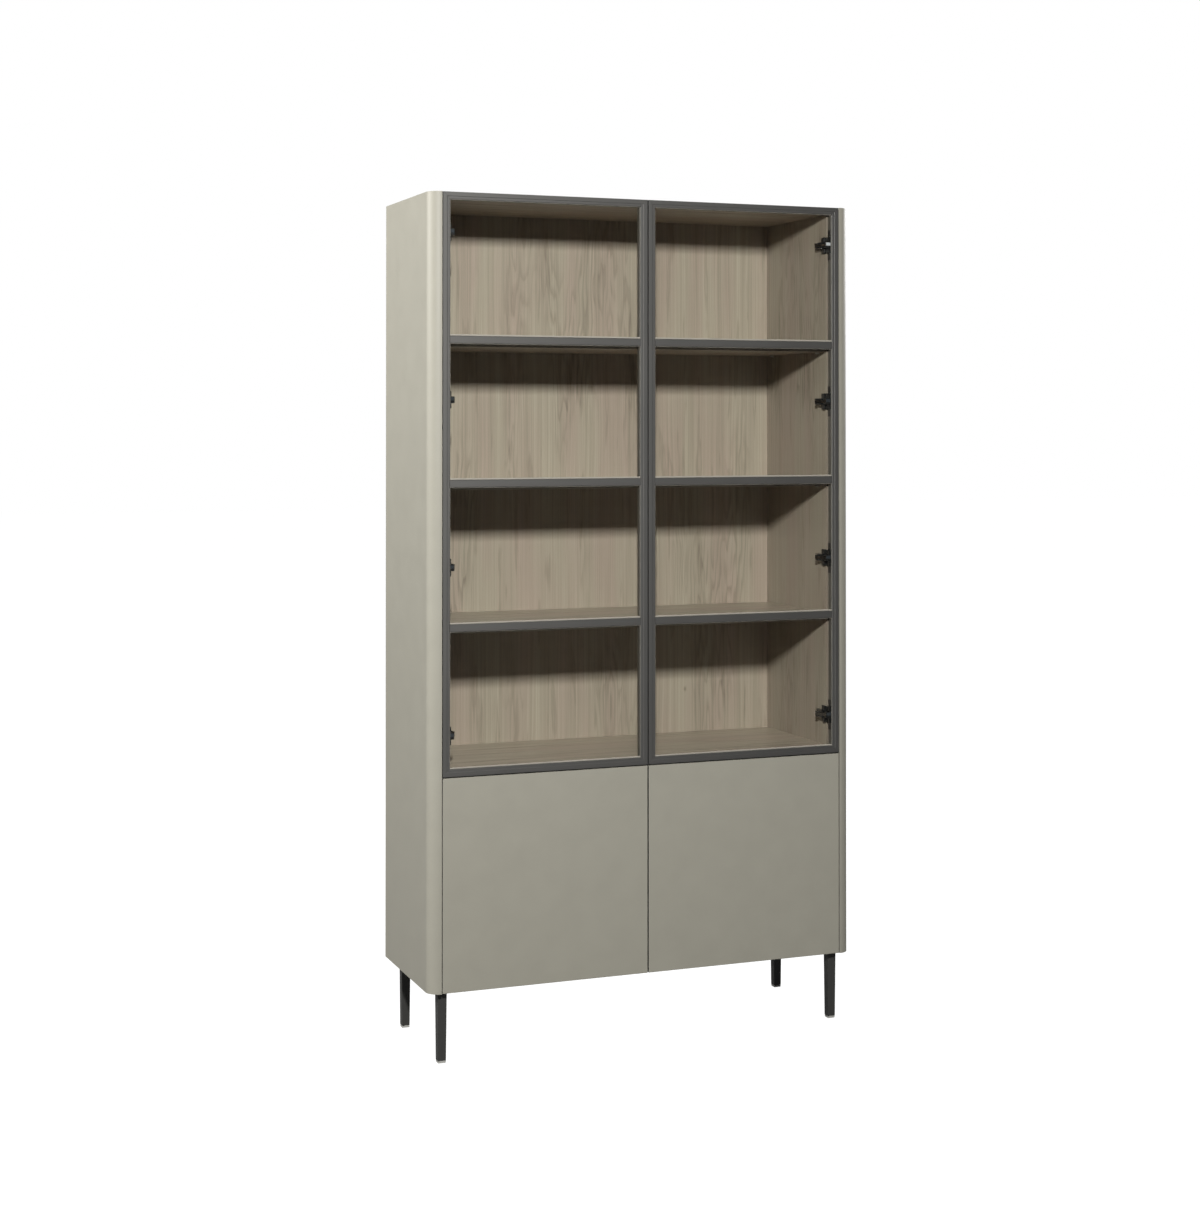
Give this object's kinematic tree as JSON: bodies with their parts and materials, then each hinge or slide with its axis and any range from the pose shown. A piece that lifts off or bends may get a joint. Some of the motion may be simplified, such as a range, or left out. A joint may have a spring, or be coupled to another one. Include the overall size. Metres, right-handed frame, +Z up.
{
  "type": "glazed display bookcase on legs",
  "caption": "Tall display bookcase: glazed hinged doors over solid hinged doors, rounded side panels, shelves inside, square steel legs.",
  "frame": {"origin": "middle of the floor area at the underside of the glides", "axes": "+X to the right seen from the front, +Y to the back, +Z up; the doors face -Y"},
  "size_m": [1.08, 0.375, 2],
  "materials": {
    "grey_decor_board": "matt lacquer on board",
    "oak_decor_board": "oak-grained melamine",
    "lacquered_aluminium": "satin",
    "clear_glass": "clear",
    "black_hinge_steel": "black nickel",
    "zinc_steel": "zinc plated",
    "black_leg_steel": "powder coat",
    "grey_plastic": "moulded",
    "beech": "bare"
  },
  "bodies": {
    "carcass": {"carcass_connectors": "zinc_steel", "carcass_dowels": "beech", "hinge_arms": "black_hinge_steel", "hinge_plates": "black_hinge_steel", "hinge_screws": "zinc_steel", "latch_sleeves": "grey_plastic", "leg_front_left": "black_leg_steel", "leg_front_right": "black_leg_steel", "leg_glides": "grey_plastic", "leg_rear_left": "black_leg_steel", "leg_rear_right": "black_leg_steel", "leg_screws": "zinc_steel", "lower_back_panel": "oak_decor_board", "lower_bottom_board": "oak_decor_board", "lower_inner_side_left": "oak_decor_board", "lower_inner_side_right": "oak_decor_board", "lower_shelf": "oak_decor_board", "lower_side_panel_left": "grey_decor_board", "lower_side_panel_right": "grey_decor_board", "lower_top_board": "oak_decor_board", "shelf_pins": "zinc_steel", "upper_back_panel": "oak_decor_board", "upper_bottom_board": "oak_decor_board", "upper_inner_side_left": "oak_decor_board", "upper_inner_side_right": "oak_decor_board", "upper_shelf_high": "oak_decor_board", "upper_shelf_low": "oak_decor_board", "upper_shelf_middle": "oak_decor_board", "upper_side_panel_left": "grey_decor_board", "upper_side_panel_right": "grey_decor_board", "upper_top_board": "oak_decor_board"},
    "glass_door_left": {"glass_door_left_hinge_stile": "lacquered_aluminium", "glass_door_left_free_stile": "lacquered_aluminium", "glass_door_left_rails": "lacquered_aluminium", "glass_door_left_glazing_bars": "lacquered_aluminium", "glass_door_left_glass": "clear_glass", "glass_door_left_hinge_cups": "black_hinge_steel"},
    "glass_door_right": {"glass_door_right_hinge_stile": "lacquered_aluminium", "glass_door_right_free_stile": "lacquered_aluminium", "glass_door_right_rails": "lacquered_aluminium", "glass_door_right_glazing_bars": "lacquered_aluminium", "glass_door_right_glass": "clear_glass", "glass_door_right_hinge_cups": "black_hinge_steel"},
    "lower_door_left": {"lower_door_left_panel": "grey_decor_board", "lower_door_left_hinge_cups": "black_hinge_steel"},
    "lower_door_right": {"lower_door_right_panel": "grey_decor_board", "lower_door_right_hinge_cups": "black_hinge_steel"},
    "glass_door_left_rockers": {"glass_door_left_hinge_rockers": "black_hinge_steel"},
    "glass_door_left_cranks": {"glass_door_left_hinge_cranks": "black_hinge_steel"},
    "glass_door_right_rockers": {"glass_door_right_hinge_rockers": "black_hinge_steel"},
    "glass_door_right_cranks": {"glass_door_right_hinge_cranks": "black_hinge_steel"},
    "lower_door_left_rockers": {"lower_door_left_hinge_rockers": "black_hinge_steel"},
    "lower_door_left_cranks": {"lower_door_left_hinge_cranks": "black_hinge_steel"},
    "lower_door_right_rockers": {"lower_door_right_hinge_rockers": "black_hinge_steel"},
    "lower_door_right_cranks": {"lower_door_right_hinge_cranks": "black_hinge_steel"},
    "upper_latch_plunger_left": {"upper_latch_plunger_left": "grey_plastic"},
    "upper_latch_plunger_right": {"upper_latch_plunger_right": "grey_plastic"},
    "lower_latch_plunger_left": {"lower_latch_plunger_left": "grey_plastic"},
    "lower_latch_plunger_right": {"lower_latch_plunger_right": "grey_plastic"}
  },
  "joints": [
    {"name": "glass_door_left_hinge", "type": "hinge", "parent": "carcass", "child": "glass_door_left", "pos_m": [-0.508, -0.1875, 0], "axis": [0, 0, 1], "range_deg": [-105, 0]},
    {"name": "glass_door_left_rocker_pivot", "type": "hinge", "parent": "carcass", "child": "glass_door_left_rockers", "pos_m": [-0.4795, -0.1565, 0], "axis": [0, 0, 1], "range_deg": [-105, 0]},
    {"name": "glass_door_left_crank_pivot", "type": "hinge", "parent": "glass_door_left", "child": "glass_door_left_cranks", "pos_m": [-0.497, -0.173, 0], "axis": [0, 0, 1], "range_deg": [0, 105]},
    {"name": "glass_door_right_hinge", "type": "hinge", "parent": "carcass", "child": "glass_door_right", "pos_m": [0.508, -0.1875, 0], "axis": [0, 0, 1], "range_deg": [0, 105]},
    {"name": "glass_door_right_rocker_pivot", "type": "hinge", "parent": "carcass", "child": "glass_door_right_rockers", "pos_m": [0.4795, -0.1565, 0], "axis": [0, 0, 1], "range_deg": [0, 105]},
    {"name": "glass_door_right_crank_pivot", "type": "hinge", "parent": "glass_door_right", "child": "glass_door_right_cranks", "pos_m": [0.497, -0.173, 0], "axis": [0, 0, 1], "range_deg": [-105, 0]},
    {"name": "lower_door_left_hinge", "type": "hinge", "parent": "carcass", "child": "lower_door_left", "pos_m": [-0.508, -0.1875, 0], "axis": [0, 0, 1], "range_deg": [-105, 0]},
    {"name": "lower_door_left_rocker_pivot", "type": "hinge", "parent": "carcass", "child": "lower_door_left_rockers", "pos_m": [-0.4795, -0.1565, 0], "axis": [0, 0, 1], "range_deg": [-105, 0]},
    {"name": "lower_door_left_crank_pivot", "type": "hinge", "parent": "lower_door_left", "child": "lower_door_left_cranks", "pos_m": [-0.497, -0.173, 0], "axis": [0, 0, 1], "range_deg": [0, 105]},
    {"name": "lower_door_right_hinge", "type": "hinge", "parent": "carcass", "child": "lower_door_right", "pos_m": [0.508, -0.1875, 0], "axis": [0, 0, 1], "range_deg": [0, 105]},
    {"name": "lower_door_right_rocker_pivot", "type": "hinge", "parent": "carcass", "child": "lower_door_right_rockers", "pos_m": [0.4795, -0.1565, 0], "axis": [0, 0, 1], "range_deg": [0, 105]},
    {"name": "lower_door_right_crank_pivot", "type": "hinge", "parent": "lower_door_right", "child": "lower_door_right_cranks", "pos_m": [0.497, -0.173, 0], "axis": [0, 0, 1], "range_deg": [-105, 0]},
    {"name": "upper_latch_plunger_left_slide", "type": "slide", "parent": "carcass", "child": "upper_latch_plunger_left", "axis": [0, -1, 0], "range_m": [0, 0.02]},
    {"name": "upper_latch_plunger_right_slide", "type": "slide", "parent": "carcass", "child": "upper_latch_plunger_right", "axis": [0, -1, 0], "range_m": [0, 0.02]},
    {"name": "lower_latch_plunger_left_slide", "type": "slide", "parent": "carcass", "child": "lower_latch_plunger_left", "axis": [0, -1, 0], "range_m": [0, 0.02]},
    {"name": "lower_latch_plunger_right_slide", "type": "slide", "parent": "carcass", "child": "lower_latch_plunger_right", "axis": [0, -1, 0], "range_m": [0, 0.02]}
  ],
  "couplings": [
    {"joint": "glass_door_left_rocker_pivot", "follows": "glass_door_left_hinge", "ratio": 1},
    {"joint": "glass_door_left_crank_pivot", "follows": "glass_door_left_hinge", "ratio": -1},
    {"joint": "glass_door_right_rocker_pivot", "follows": "glass_door_right_hinge", "ratio": 1},
    {"joint": "glass_door_right_crank_pivot", "follows": "glass_door_right_hinge", "ratio": -1},
    {"joint": "lower_door_left_rocker_pivot", "follows": "lower_door_left_hinge", "ratio": 1},
    {"joint": "lower_door_left_crank_pivot", "follows": "lower_door_left_hinge", "ratio": -1},
    {"joint": "lower_door_right_rocker_pivot", "follows": "lower_door_right_hinge", "ratio": 1},
    {"joint": "lower_door_right_crank_pivot", "follows": "lower_door_right_hinge", "ratio": -1},
    {"joint": "upper_latch_plunger_left_slide", "follows": "glass_door_left_hinge", "m_per_rad": -0.0109},
    {"joint": "upper_latch_plunger_right_slide", "follows": "glass_door_right_hinge", "m_per_rad": 0.0109},
    {"joint": "lower_latch_plunger_left_slide", "follows": "lower_door_left_hinge", "m_per_rad": -0.0109},
    {"joint": "lower_latch_plunger_right_slide", "follows": "lower_door_right_hinge", "m_per_rad": 0.0109}
  ]
}
